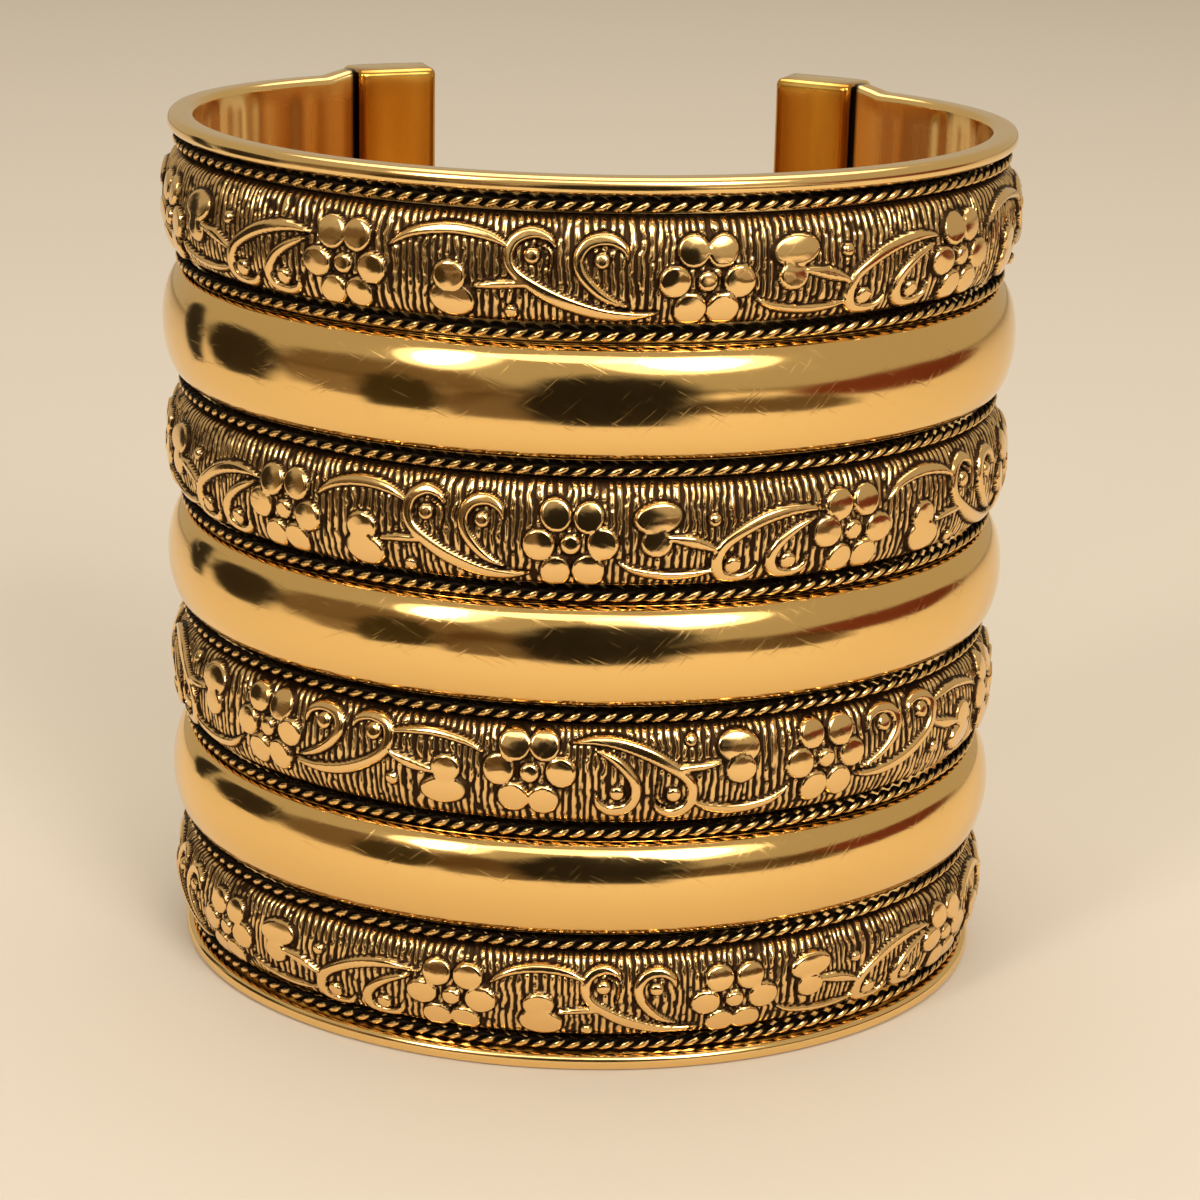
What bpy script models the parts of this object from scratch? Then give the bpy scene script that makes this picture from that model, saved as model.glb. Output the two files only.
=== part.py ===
"""Open cuff bracelet of brass strips soldered side by side on a liner sheet.

Every strip is modelled flat, facing -Y, with its length along X, and is then bent round
the oval of the wrist. The cuff stands on its bottom rim with its axis along Z. The gap
between its ends faces +Y, and the origin is under the middle of its footprint.
"""
import math

import bmesh
import bpy
import numpy as np
from mathutils import Vector
from mathutils.geometry import delaunay_2d_cdt

# Driving dimensions, in metres
INNER_WIDTH = 0.0611        # wrist hollow, side to side
INNER_FRONT = 0.0261        # from the hollow's widest place to the front
INNER_BACK = 0.0208         # from there to the back, which is flatter
END_GAP = 0.0279            # opening between the two end caps
CLEARANCE = 0.0003          # between pieces that touch on the real cuff
SIDE_GAP = 0.000275         # between a wire and the strips on each side of it

LINER_WALL = 0.00045
RIM_HEIGHT = 0.00125
RIM_WIDTH = 0.00205         # from the inner face outwards
RIM_ROUNDING = 0.0005

BAND_EDGE = 0.0004          # height of a strip's straight side
PLAIN_HEIGHT = 0.00205      # flat back to crest
GROUND_HEIGHT = 0.0017      # embossed strip, flat back to the ground's crest
RELIEF_HEIGHT = 0.00035     # flowers and scrolls above the ground
WIRE_DIAMETER = 0.00095

CAP_LENGTH = 0.0073         # along the strips
CAP_WALL = 0.0005
CAP_END_WALL = 0.0008
CAP_RISE = 0.0005           # above the top rim
RIM_SLOPE = 0.0023          # length over which the top rim rises to each cap
CAP_ROUNDING = 0.0004

# Layout of the seven strips, top to bottom. An embossed strip gives the place of its first
# flower from the front, the lengths from there to the second flower and on to the next
# first one, and whether it is upside down.
STRIPS = (
    # name, width, first flower, lengths, upside down
    ("embossed_band_1", 0.00760, -0.01650, (0.0264, 0.0222), False),
    ("plain_band_1", 0.00825, None, None, False),
    ("embossed_band_2", 0.00775, -0.02215, (0.0228, 0.0215), False),
    ("plain_band_2", 0.00770, None, None, False),
    ("embossed_band_3", 0.00755, -0.02075, (0.0228, 0.0221), True),
    ("plain_band_3", 0.00745, None, None, False),
    ("embossed_band_4", 0.00670, -0.00785, (0.0217, 0.0221), False),
)

# Floral scroll. Places along it run from 0 at a first flower through 0.5 at the second to 1
# at the next first one. Places across it and sizes are in shares of the strip's half width.
FLOWERS = (0.0, 0.5)
FLOWER_DROP = -0.12         # middle of a flower, across
PETALS = 6
PETAL_REACH = 0.62
PETAL_RADIUS = 0.29

PADS = (
    # along, across, half length, half width
    (0.160, -0.58, 0.446, 0.31),        # bud under the crescent leaf
    (0.160, -0.14, 0.26, 0.24),         # its small upper pad
    (0.646, 0.38, 0.48, 0.30),          # leaf blob
    (0.644, -0.09, 0.30, 0.27),         # its small lower pad
)
RIBBONS = (
    # rows of along, across, width
    ((0.068, 0.32, 0.04), (0.099, 0.58, 0.16), (0.170, 0.70, 0.21), (0.226, 0.50, 0.05)),   # leaf
    ((0.200, -0.27, 0.11), (0.261, -0.21, 0.12)),                         # bud's stem
    ((0.678, -0.02, 0.16), (0.710, -0.09, 0.21), (0.741, -0.26, 0.05)),   # blob's stem
    ((0.579, -0.46, 0.05), (0.610, -0.64, 0.14), (0.662, -0.74, 0.16), (0.734, -0.66, 0.07)),   # low stem
    ((0.284, 0.66, 0.14), (0.259, 0.70, 0.20), (0.236, 0.43, 0.20), (0.243, 0.03, 0.20),
     (0.284, -0.38, 0.24), (0.356, -0.74, 0.22), (0.432, -0.73, 0.05)),   # first curl
    ((0.387, 0.51, 0.14), (0.360, 0.62, 0.21), (0.329, 0.38, 0.20), (0.335, -0.08, 0.19),
     (0.392, -0.60, 0.05)),                                               # second curl
    ((0.804, -0.81, 0.13), (0.775, -0.84, 0.18), (0.749, -0.57, 0.22), (0.761, -0.16, 0.21),
     (0.820, 0.26, 0.22), (0.892, 0.41, 0.19), (0.935, 0.37, 0.05)),      # third curl
    ((0.901, -0.74, 0.13), (0.874, -0.82, 0.18), (0.845, -0.57, 0.21), (0.856, -0.21, 0.19),
     (0.890, 0.08, 0.16), (0.926, 0.25, 0.05)),                           # fourth curl
)
PAD_SIDES = 6

SEGMENTS = 31               # facets along the cuff
DOME_STEPS = 5              # facets across a plain strip
GROUND_ROWS = (-0.5, 0.5)   # rows of points that round the embossed ground
PATTERN_MARGIN = 0.93       # share of the half width that the pattern may reach

# Colour, roughness and metallic value of each finish
FINISHES = {
    "polished_brass": ((0.83, 0.56, 0.25), 0.12, 1.0),
    "embossed_brass": ((0.74, 0.47, 0.19), 0.22, 1.0),
    "patinated_brass": ((0.55, 0.34, 0.13), 0.30, 1.0),
    "satin_brass": ((0.80, 0.52, 0.24), 0.25, 1.0),
}

# Worked out from the above
WIRE_ROOM = WIRE_DIAMETER + 2 * SIDE_GAP    # from one strip to the next
BACK = LINER_WALL + CLEARANCE               # depth of the flat backs of strips
CREST = BACK + max(PLAIN_HEIGHT, GROUND_HEIGHT + RELIEF_HEIGHT)
HEIGHT = 2 * RIM_HEIGHT + WIRE_ROOM + sum(width + WIRE_ROOM for _, width, *_ in STRIPS)
SHEET_FOOT = RIM_HEIGHT - RIM_ROUNDING      # liner sheet's lower edge, in the bottom rim
CAP_INSIDE = -CLEARANCE - CAP_WALL          # depths of a cap's two faces
CAP_OUTSIDE = CREST + CLEARANCE + CAP_WALL


class Oval:
    """The wrist's oval, measured along the strips from the middle of the front."""

    def __init__(self):
        self.turn = np.linspace(-math.pi, math.pi, 7201)
        x, y = self.place(self.turn, CREST)
        steps = np.hypot(np.diff(x), np.diff(y))
        length = np.concatenate([[0.0], np.cumsum(steps)])
        self.length = length - np.interp(0.0, self.turn, length)

    def place(self, turn, depth):
        """Point at an angle from the front, and at a depth outside the inner face."""
        across = INNER_WIDTH / 2
        along = np.where(np.cos(turn) > 0, INNER_FRONT, INNER_BACK)
        x, y = across * np.sin(turn), -along * np.cos(turn)
        normal_x, normal_y = np.sin(turn) / across, -np.cos(turn) / along
        size = np.hypot(normal_x, normal_y)
        return x + depth * normal_x / size, y + depth * normal_y / size

    def bend(self, flat):
        """Place on the cuff of a point of the flat strips."""
        turn = np.interp(flat.x, self.length, self.turn)
        x, y = self.place(turn, -flat.y)
        return Vector((x, y, flat.z))

    def end(self):
        """Length from the front to where the two caps leave the gap between them."""
        back = self.turn > math.pi / 2
        x, _ = self.place(self.turn[back], CAP_INSIDE)
        turn = np.interp(END_GAP / 2, x[::-1], self.turn[back][::-1])
        return float(np.interp(turn, self.turn, self.length))


OVAL = Oval()
CUFF_END = OVAL.end()
STRIP_END = CUFF_END - CAP_END_WALL - CLEARANCE     # ends of strips, inside the caps
RIM_END = CUFF_END - CAP_LENGTH - CLEARANCE         # ends of rims, against the caps
STATIONS = np.linspace(-STRIP_END, STRIP_END, SEGMENTS + 1)


def clear_scene():
    for thing in list(bpy.data.objects):
        bpy.data.objects.remove(thing, do_unlink=True)


def collection(name):
    group = bpy.data.collections.new(name)
    bpy.context.scene.collection.children.link(group)
    return group


def finish_material(name):
    material = bpy.data.materials.get(name)
    if material:
        return material
    colour, roughness, metallic = FINISHES[name]
    material = bpy.data.materials.new(name)
    material.use_nodes = True
    shader = material.node_tree.nodes["Principled BSDF"]
    shader.inputs["Base Color"].default_value = (*colour, 1.0)
    shader.inputs["Roughness"].default_value = roughness
    shader.inputs["Metallic"].default_value = metallic
    return material


def add_object(group, mesh, name, finish):
    thing = bpy.data.objects.new(name, mesh)
    thing.data.materials.append(finish_material(finish))
    group.objects.link(thing)
    return thing


def score(bm, places):
    """Cut a flat piece across at each place, so that it can bend there."""
    for place in places:
        geometry = bm.verts[:] + bm.edges[:] + bm.faces[:]
        bmesh.ops.bisect_plane(bm, geom=geometry, plane_co=(place, 0, 0), plane_no=(1, 0, 0))


def bend(bm):
    for vert in bm.verts:
        vert.co = OVAL.bend(vert.co)


def bar(bm, along, depth, heights):
    """Flat bar between two lengths, two depths and two heights."""
    made = bmesh.ops.create_cube(bm, size=1.0)["verts"]
    for vert in made:
        vert.co.x = along[1] if vert.co.x > 0 else along[0]
        vert.co.y = -depth[0] if vert.co.y > 0 else -depth[1]
        vert.co.z = heights[1] if vert.co.z > 0 else heights[0]


def flat_object(group, name, finish, along, depth, heights, rounding=0.0):
    """A flat bar as an object, with its long edges rounded."""
    bm = bmesh.new()
    bar(bm, along, depth, heights)
    if rounding:
        long_edges = [e for e in bm.edges if abs(e.verts[0].co.x - e.verts[1].co.x) > rounding]
        bmesh.ops.bevel(bm, geom=long_edges, offset=rounding, segments=1, affect="EDGES")
    mesh = bpy.data.meshes.new(name)
    bm.to_mesh(mesh)
    bm.free()
    return add_object(group, mesh, name, finish)


def combine(target, tool, operation):
    modifier = target.modifiers.new(operation.lower(), "BOOLEAN")
    modifier.operation = operation
    modifier.object = tool
    tool.hide_render = True
    tool.display_type = "WIRE"


def bend_result(group, source, name, finish, places):
    """Bend the flat result of an object's modifiers and keep it as the piece."""
    bpy.context.view_layer.update()
    evaluated = source.evaluated_get(bpy.context.evaluated_depsgraph_get())
    mesh = bpy.data.meshes.new_from_object(evaluated)
    mesh.name = name
    bm = bmesh.new()
    bm.from_mesh(mesh)
    bmesh.ops.remove_doubles(bm, verts=bm.verts[:], dist=1e-6)
    score(bm, places)
    bend(bm)
    bm.to_mesh(mesh)
    bm.free()
    mesh.materials.clear()
    bpy.data.objects.remove(source, do_unlink=True)
    return add_object(group, mesh, name, finish)


def raise_ends(rim):
    """Let the top rim rise to the caps' tops at its two ends."""
    bm = bmesh.new()
    bm.from_mesh(rim.data)
    score(bm, (RIM_SLOPE - RIM_END, RIM_END - RIM_SLOPE))
    for vert in bm.verts:
        if abs(vert.co.x) > RIM_END - RIM_SLOPE / 2 and vert.co.z > HEIGHT - RIM_HEIGHT / 2:
            vert.co.z += CAP_RISE
    bm.to_mesh(rim.data)
    bm.free()


def make_liner(parts, cutters):
    """Inner sheet with a bar along its top and its bottom edge."""
    sheet_heights = (SHEET_FOOT, HEIGHT - SHEET_FOOT)
    sheet = flat_object(parts, "liner_sheet", "satin_brass", (-STRIP_END, STRIP_END),
                        (0, LINER_WALL), sheet_heights)
    for name, low in (("bottom_rim", 0.0), ("top_rim", HEIGHT - RIM_HEIGHT)):
        rim = flat_object(cutters, name, "polished_brass", (-RIM_END, RIM_END),
                          (0, RIM_WIDTH), (low, low + RIM_HEIGHT), RIM_ROUNDING)
        if name == "top_rim":
            raise_ends(rim)
        combine(sheet, rim, "UNION")
    bend_result(parts, sheet, "liner", "satin_brass", STATIONS[1:-1])


def dome_depth(across, height):
    """Depth of a domed strip's face, at a share of its half width from its middle."""
    return BACK + BAND_EDGE + (height - BAND_EDGE) * math.sqrt(max(0.0, 1 - across ** 2))


def make_plain_band(parts, name, middle, half):
    """Half-round strip: its section is a flat back and an arched face."""
    bm = bmesh.new()
    section = [bm.verts.new((-STRIP_END, -BACK, middle + half)),
               bm.verts.new((-STRIP_END, -BACK, middle - half))]
    for step in range(DOME_STEPS + 1):
        across = -math.cos(math.pi * step / DOME_STEPS)
        depth = dome_depth(across, PLAIN_HEIGHT)
        section.append(bm.verts.new((-STRIP_END, -depth, middle + across * half)))
    face = bm.faces.new(section)
    swept = bmesh.ops.extrude_face_region(bm, geom=[face])["geom"]
    far = [item for item in swept if isinstance(item, bmesh.types.BMVert)]
    bmesh.ops.translate(bm, verts=far, vec=(2 * STRIP_END, 0, 0))
    bmesh.ops.recalc_face_normals(bm, faces=bm.faces[:])
    score(bm, STATIONS[1:-1])
    bend(bm)
    mesh = bpy.data.meshes.new(name)
    bm.to_mesh(mesh)
    bm.free()
    add_object(parts, mesh, name, "polished_brass")


def make_wire(parts, name, height):
    """Twisted wire, as a plain round wire of the same thickness."""
    curve = bpy.data.curves.new(name, "CURVE")
    curve.dimensions = "3D"
    curve.bevel_depth = WIRE_DIAMETER / 2
    curve.bevel_resolution = 1
    curve.use_fill_caps = True
    spline = curve.splines.new("POLY")
    spline.points.add(len(STATIONS) - 1)
    depth = BACK + WIRE_DIAMETER / 2
    for point, place in zip(spline.points, STATIONS):
        point.co = (*OVAL.bend(Vector((place, -depth, height))), 1.0)
    add_object(parts, curve, name, "patinated_brass")


def pad_outline(along, across, half_length, half_width, turn=0.0):
    """Oval pad of the pattern, with its corners turned by an angle."""
    points = []
    for step in range(PAD_SIDES):
        angle = turn + 2 * math.pi * step / PAD_SIDES
        points.append((along + half_length * math.cos(angle), across + half_width * math.sin(angle)))
    return points


def ribbon_outline(rows):
    """Band of changing width along a line of points."""
    left, right = [], []
    for index, (along, across, width) in enumerate(rows):
        before, after = rows[max(index - 1, 0)], rows[min(index + 1, len(rows) - 1)]
        du, dv = after[0] - before[0], after[1] - before[1]
        size = math.hypot(du, dv)
        side_u, side_v = -dv / size * width / 2, du / size * width / 2
        left.append((along + side_u, across + side_v))
        right.append((along - side_u, across - side_v))
    return right + left[::-1]


def pattern_outlines(lengths, half):
    """Outlines of one repeat of the floral scroll on a strip of a given half width."""
    first, second = lengths

    def place(along):
        return np.interp(along, (0.0, 0.5, 1.0), (0.0, first, first + second))

    outlines = []
    radius = PETAL_RADIUS * half
    for flower in FLOWERS:
        for petal in range(PETALS):
            angle = 2 * math.pi * petal / PETALS
            u = place(flower) + PETAL_REACH * half * math.cos(angle)
            v = (FLOWER_DROP + PETAL_REACH * math.sin(angle)) * half
            outlines.append(pad_outline(u, v, radius, radius, angle + math.pi / PAD_SIDES))
    for along, across, half_length, half_width in PADS:
        outlines.append(pad_outline(place(along), across * half, half_length * half,
                                    half_width * half))
    for rows in RIBBONS:
        outlines.append(ribbon_outline([(place(along), across * half, width * half)
                                        for along, across, width in rows]))
    return outlines


def strip_outlines(half, first_flower, lengths, upside_down):
    """Outlines of the whole strip's pattern, left out where the caps cover it."""
    pattern = pattern_outlines(lengths, half)
    facing = -1 if upside_down else 1
    reach = RIM_END - CLEARANCE
    repeats = math.ceil(2 * STRIP_END / sum(lengths)) + 1
    outlines = []
    for repeat in range(-repeats, repeats + 1):
        shift = first_flower + repeat * sum(lengths)
        for outline in pattern:
            moved = [(facing * (u + shift), facing * v) for u, v in outline]
            if max(abs(u) for u, _ in moved) < reach:
                outlines.append(moved)
    return outlines


def inside(point, outline):
    u, v = point
    crossings = 0
    for (u0, v0), (u1, v1) in zip(outline, outline[1:] + outline[:1]):
        if (v0 > v) != (v1 > v) and u < u0 + (v - v0) * (u1 - u0) / (v1 - v0):
            crossings += 1
    return crossings % 2 == 1


def emboss_plan(outlines, half):
    """Triangles of the flat strip, and for each whether the pattern raises it."""
    border = [(place, -half) for place in STATIONS]
    border += [(place, half) for place in STATIONS[::-1]]
    ground = [(place, row * half) for place in STATIONS[1:-1] for row in GROUND_ROWS]
    points = [Vector(point) for point in border]
    points += [Vector(p) for p in ground if not any(inside(p, outline) for outline in outlines)]
    faces = [list(range(len(border)))]
    limit = PATTERN_MARGIN * half
    for outline in outlines:
        first = len(points)
        points += [Vector((u, max(-limit, min(limit, v)))) for u, v in outline]
        faces.append(list(range(first, len(points))))
    verts, _, triangles, _, _, sources = delaunay_2d_cdt(points, [], faces, 1, 1e-6)
    raised = [any(source > 0 for source in origin) for origin in sources]
    return verts, triangles, raised


def make_embossed_band(parts, name, middle, half, outlines):
    """Pattern strip: a domed ground with the flowers and scrolls raised on it."""
    verts, triangles, raised = emboss_plan(outlines, half)
    bm = bmesh.new()
    made = [bm.verts.new((v.x, -dome_depth(v.y / half, GROUND_HEIGHT), middle + v.y))
            for v in verts]
    faces = [bm.faces.new([made[index] for index in triangle]) for triangle in triangles]
    pattern = [face for face, up in zip(faces, raised) if up]
    lifted = bmesh.ops.extrude_face_region(bm, geom=pattern)["geom"]
    tops = [item for item in lifted if isinstance(item, bmesh.types.BMVert)]
    bmesh.ops.translate(bm, verts=tops, vec=(0, -RELIEF_HEIGHT, 0))
    bmesh.ops.delete(bm, geom=pattern, context="FACES")

    rim_edges = [edge for edge in bm.edges if edge.is_boundary]
    walls = bmesh.ops.extrude_edge_only(bm, edges=rim_edges)["geom"]
    back = [item for item in walls if isinstance(item, bmesh.types.BMVert)]
    for vert in back:
        vert.co.y = -BACK
    top = sorted((v for v in back if v.co.z > middle), key=lambda v: v.co.x)
    low = sorted((v for v in back if v.co.z < middle), key=lambda v: v.co.x)
    for index in range(len(top) - 1):
        bm.faces.new((low[index], low[index + 1], top[index + 1], top[index]))
    bmesh.ops.recalc_face_normals(bm, faces=bm.faces[:])
    bend(bm)
    mesh = bpy.data.meshes.new(name)
    bm.to_mesh(mesh)
    bm.free()
    add_object(parts, mesh, name, "embossed_brass")


def make_cap(parts, cutters, name, side):
    """Folded shoe over the ends of all the strips."""
    near, far = CUFF_END - CAP_LENGTH, CUFF_END
    bm = bmesh.new()
    bar(bm, (near, far), (CAP_INSIDE, CAP_OUTSIDE), (0, HEIGHT + CAP_RISE))
    bmesh.ops.bevel(bm, geom=bm.edges[:], offset=CAP_ROUNDING, segments=1, affect="EDGES")
    mesh = bpy.data.meshes.new(name)
    bm.to_mesh(mesh)
    bm.free()
    body = add_object(parts, mesh, name + "_body", "polished_brass")

    pocket = flat_object(cutters, name + "_pocket", "satin_brass",
                         (near - CAP_END_WALL, far - CAP_END_WALL),
                         (-CLEARANCE, CREST + CLEARANCE),
                         (SHEET_FOOT - CLEARANCE, HEIGHT - SHEET_FOOT + CLEARANCE))
    combine(body, pocket, "DIFFERENCE")
    places = [place for place in STATIONS if near < place < far]
    piece = bend_result(parts, body, name, "polished_brass", places)
    if side < 0:
        for vert in piece.data.vertices:
            vert.co.x = -vert.co.x
        piece.data.flip_normals()


def centre_footprint(parts):
    """Move every piece back or forth until the footprint's middle is at the origin."""
    places = [vert.co.y for piece in parts.objects if piece.type == "MESH"
              for vert in piece.data.vertices]
    middle = (min(places) + max(places)) / 2
    for piece in parts.objects:
        piece.location.y = -middle


def make_cuff():
    clear_scene()
    parts = collection("cuff_bracelet")
    cutters = collection("cutters")
    make_liner(parts, cutters)
    height = HEIGHT - RIM_HEIGHT - WIRE_ROOM / 2
    make_wire(parts, "twisted_wire_1", height)
    for index, (name, width, first_flower, lengths, upside_down) in enumerate(STRIPS):
        middle = height - (WIRE_ROOM + width) / 2
        if lengths:
            outlines = strip_outlines(width / 2, first_flower, lengths, upside_down)
            make_embossed_band(parts, name, middle, width / 2, outlines)
        else:
            make_plain_band(parts, name, middle, width / 2)
        height -= WIRE_ROOM + width
        make_wire(parts, f"twisted_wire_{index + 2}", height)
    make_cap(parts, cutters, "end_cap_left", -1)
    make_cap(parts, cutters, "end_cap_right", 1)
    centre_footprint(parts)


make_cuff()
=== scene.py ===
# Open brass cuff bracelet: smooth and embossed strips, twisted wires, liner and end caps.
# Every strip is modelled flat, facing -Y with its length along X, then bent round the wrist.
import math

import bpy
import numpy as np
from mathutils import Matrix, Vector


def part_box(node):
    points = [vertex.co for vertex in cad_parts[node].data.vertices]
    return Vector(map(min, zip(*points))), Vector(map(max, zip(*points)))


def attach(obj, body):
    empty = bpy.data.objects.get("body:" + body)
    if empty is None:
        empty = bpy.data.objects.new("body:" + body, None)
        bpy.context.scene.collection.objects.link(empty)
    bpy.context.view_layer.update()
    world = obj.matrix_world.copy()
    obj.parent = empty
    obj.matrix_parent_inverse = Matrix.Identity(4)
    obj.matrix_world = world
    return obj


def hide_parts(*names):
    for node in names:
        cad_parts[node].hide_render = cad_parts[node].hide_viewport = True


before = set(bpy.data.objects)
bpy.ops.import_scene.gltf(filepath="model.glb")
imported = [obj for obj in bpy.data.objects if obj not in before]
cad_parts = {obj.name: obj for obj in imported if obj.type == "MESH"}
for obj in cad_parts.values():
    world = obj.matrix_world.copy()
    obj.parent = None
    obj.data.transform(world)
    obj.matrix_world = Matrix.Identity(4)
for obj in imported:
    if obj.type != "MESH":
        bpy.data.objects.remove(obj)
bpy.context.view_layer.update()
mm = 0.001

cuff = {
    "innerWidth": 61.1 * mm,     # wrist hollow, side to side
    "innerFront": 26.1 * mm,     # from the hollow's widest place to the front
    "innerBack": 20.8 * mm,      # from there to the back, which is flatter
    "widestY": 3.617 * mm,       # place of the widest part in the frame
    "endGap": 27.9 * mm,         # between the end caps
    "linerWall": 0.45 * mm,
    "rimWidth": 2.05 * mm,
    "rimHeight": 1.25 * mm,
    "wireDiameter": 0.95 * mm,
    "back": 0.75 * mm,           # depth of the strips' flat backs, from the inner face
    "crest": 2.80 * mm,          # depth of the strips' crests
    "capLength": 7.3 * mm,
    "capInside": -0.8 * mm,
    "capOutside": 3.6 * mm,
    "capRise": 0.5 * mm,         # above the top rim
    "rimSlope": 2.3 * mm,        # length over which the rim rises to a cap
    "stripInset": 1.1 * mm,      # from a cap's outer end to the strips' ends inside it
    "rimInset": 0.3 * mm,        # between a rim's end and its cap
    "stripWall": 0.40 * mm,      # edge of a strip, from its flat back to its dome
    "underCrest": 0.01,          # mm by which every dome stays below the solid's crest
}
cuff["height"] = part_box("liner")[1][2] - cuff["capRise"]


def heights(node):
    # middle and half height of a piece of the frame
    low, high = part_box(node)[0][2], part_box(node)[1][2]
    return (low + high) / 2, (high - low) / 2


# The oval of the wrist

def ovalPlace(turn, depth):
    across = cuff["innerWidth"] / 2
    along = np.where(np.cos(turn) > 0, cuff["innerFront"], cuff["innerBack"])
    x, y = across * np.sin(turn), -along * np.cos(turn)
    normalX, normalY = np.sin(turn) / across, -np.cos(turn) / along
    size = np.hypot(normalX, normalY)
    return x + depth * normalX / size, y + depth * normalY / size + cuff["widestY"]


ovalTurns = np.linspace(-math.pi, math.pi, 7201)
ovalX, ovalY = ovalPlace(ovalTurns, cuff["crest"])
ovalLengths = np.concatenate([[0.0], np.cumsum(np.hypot(np.diff(ovalX), np.diff(ovalY)))])
ovalLengths -= np.interp(0.0, ovalTurns, ovalLengths)


def bendPoints(points):
    # flat points, bent round the oval
    turn = np.interp(points[:, 0], ovalLengths, ovalTurns)
    x, y = ovalPlace(turn, -points[:, 1])
    return np.column_stack([x, y, points[:, 2]])


def cuffEnd():
    back = ovalTurns > math.pi / 2
    x, y = ovalPlace(ovalTurns[back], cuff["capInside"])
    turn = np.interp(cuff["endGap"] / 2, x[::-1], ovalTurns[back][::-1])
    return float(np.interp(turn, ovalTurns, ovalLengths))


cuffHalf = cuffEnd()
stripEnd = cuffHalf - cuff["stripInset"]                        # ends of the strips
rimEnd = cuffHalf - cuff["capLength"] - cuff["rimInset"]        # ends of the rims


# Small helpers

def freshStart():
    if bpy.context.object and bpy.context.object.mode != "OBJECT":
        bpy.ops.object.mode_set(mode="OBJECT")
    bpy.ops.object.select_all(action="DESELECT")


def readPoints(piece):
    flat = np.empty(len(piece.data.vertices) * 3)
    piece.data.vertices.foreach_get("co", flat)
    return flat.reshape(-1, 3)


def writePoints(piece, points):
    piece.data.vertices.foreach_set("co", np.ascontiguousarray(points, dtype=np.float32).ravel())
    piece.data.update()


def softNoise(u, v, seed, cells=64):
    # smooth noise from -1 to 1, with bumps about one unit wide, that repeats after the cells
    table = np.random.RandomState(seed).uniform(-1, 1, (cells, cells))
    i, j = np.floor(u).astype(int), np.floor(v).astype(int)
    fu, fv = u - i, v - j
    fu, fv = fu * fu * (3 - 2 * fu), fv * fv * (3 - 2 * fv)
    i, j, nextI, nextJ = i % cells, j % cells, (i + 1) % cells, (j + 1) % cells
    low = table[i, j] * (1 - fu) + table[nextI, j] * fu
    high = table[i, nextJ] * (1 - fu) + table[nextI, nextJ] * fu
    return low * (1 - fv) + high * fv


def waves(u, v, look, seed, shift=0):
    # soft unevenness; look is its height, its length and its width
    height, length, width = look
    return height * softNoise(u / length, v / width + shift, seed)


def rampUp(x, low, high):
    # 0 below low and 1 above high, with a soft slope between them
    share = np.clip((x - low) / (high - low), 0, 1)
    return share * share * (3 - 2 * share)


def addAttribute(piece, name, values):
    layer = piece.data.attributes.new(name, "FLOAT", "POINT")
    layer.data.foreach_set("value", np.ascontiguousarray(values, dtype=np.float32))


def addFlatUv(piece, lengths, sides):
    # UV map in millimetres along and round a strip
    layer = piece.data.uv_layers.new(name="strip")
    corners = np.empty(len(piece.data.loops), dtype=np.int32)
    piece.data.loops.foreach_get("vertex_index", corners)
    both = np.column_stack([lengths[corners], sides[corners]]) / mm
    layer.data.foreach_set("uv", both.astype(np.float32).ravel())


strips = {
    "weld": 0.002 * mm,                  # points nearer than this become one
    "smoothAngle": math.radians(80),
}


def sweptStrip(name, length, columns, section, shape):
    # A grid is rolled into a closed section, its length along X, its ends filled, and bent.
    # section is a closed line of (depth, height) points. shape may move the points before
    # they are bent, and returns their new depths and heights with the masks to keep.
    rows = len(section)
    freshStart()
    bpy.ops.mesh.primitive_grid_add(x_subdivisions=columns, y_subdivisions=rows, size=2)
    piece = bpy.context.object
    piece.name = piece.data.name = name
    points = readPoints(piece)
    u = points[:, 0] * length / 2
    row = np.rint((points[:, 1] + 1) / 2 * rows).astype(int) % rows
    line = np.array(section)
    depth, height = line[row, 0], line[row, 1]
    depth, height, masks = shape(u, row, depth, height)
    flat = np.column_stack([u, -depth, height])
    writePoints(piece, flat)
    around = np.concatenate([[0], np.cumsum(np.hypot(*np.diff(line, axis=0).T))])
    addFlatUv(piece, u, around[row])
    for mask, values in masks.items():
        addAttribute(piece, mask, values)
    bpy.ops.object.mode_set(mode="EDIT")
    bpy.ops.mesh.select_all(action="SELECT")
    bpy.ops.mesh.remove_doubles(threshold=strips["weld"])
    bpy.ops.mesh.select_all(action="DESELECT")
    bpy.ops.mesh.select_non_manifold()
    bpy.ops.mesh.fill_holes(sides=0)
    bpy.ops.mesh.select_all(action="SELECT")
    bpy.ops.mesh.normals_make_consistent(inside=False)
    bpy.ops.object.mode_set(mode="OBJECT")
    writePoints(piece, bendPoints(readPoints(piece)))
    bpy.ops.object.shade_smooth_by_angle(angle=strips["smoothAngle"])
    return piece


# The scroll pattern, in millimetres along and across a strip 7.4 mm wide

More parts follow.
